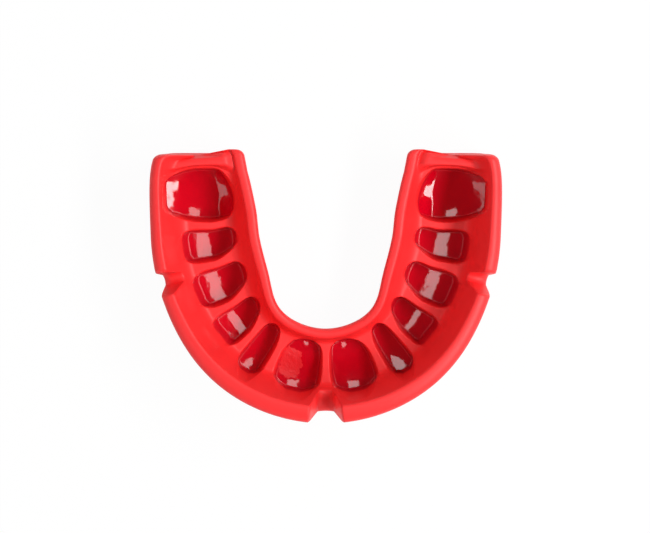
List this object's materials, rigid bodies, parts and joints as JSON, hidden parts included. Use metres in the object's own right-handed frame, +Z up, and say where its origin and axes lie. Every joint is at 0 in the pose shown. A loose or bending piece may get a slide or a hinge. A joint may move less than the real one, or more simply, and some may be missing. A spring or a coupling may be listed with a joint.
{
  "type": "mouthguard",
  "caption": "Moulded rubber sports mouthguard: a horseshoe tray with tooth wells parted by webs, a tall outer flange with lip and cheek notches, a lower inner flange and a flat biting face.",
  "frame": {"origin": "middle of the flat biting face, under the middle of the object's box", "axes": "+X across the mouth, +Y towards the back teeth, -Y towards the lips, +Z up out of the tooth channel, away from the biting face"},
  "size_m": [0.065, 0.0502, 0.02],
  "materials": {
    "rubber": "satin moulded rubber, glossy inside the tooth wells"
  },
  "bodies": {
    "root": {"mouthguard": "rubber"}
  },
  "joints": []
}
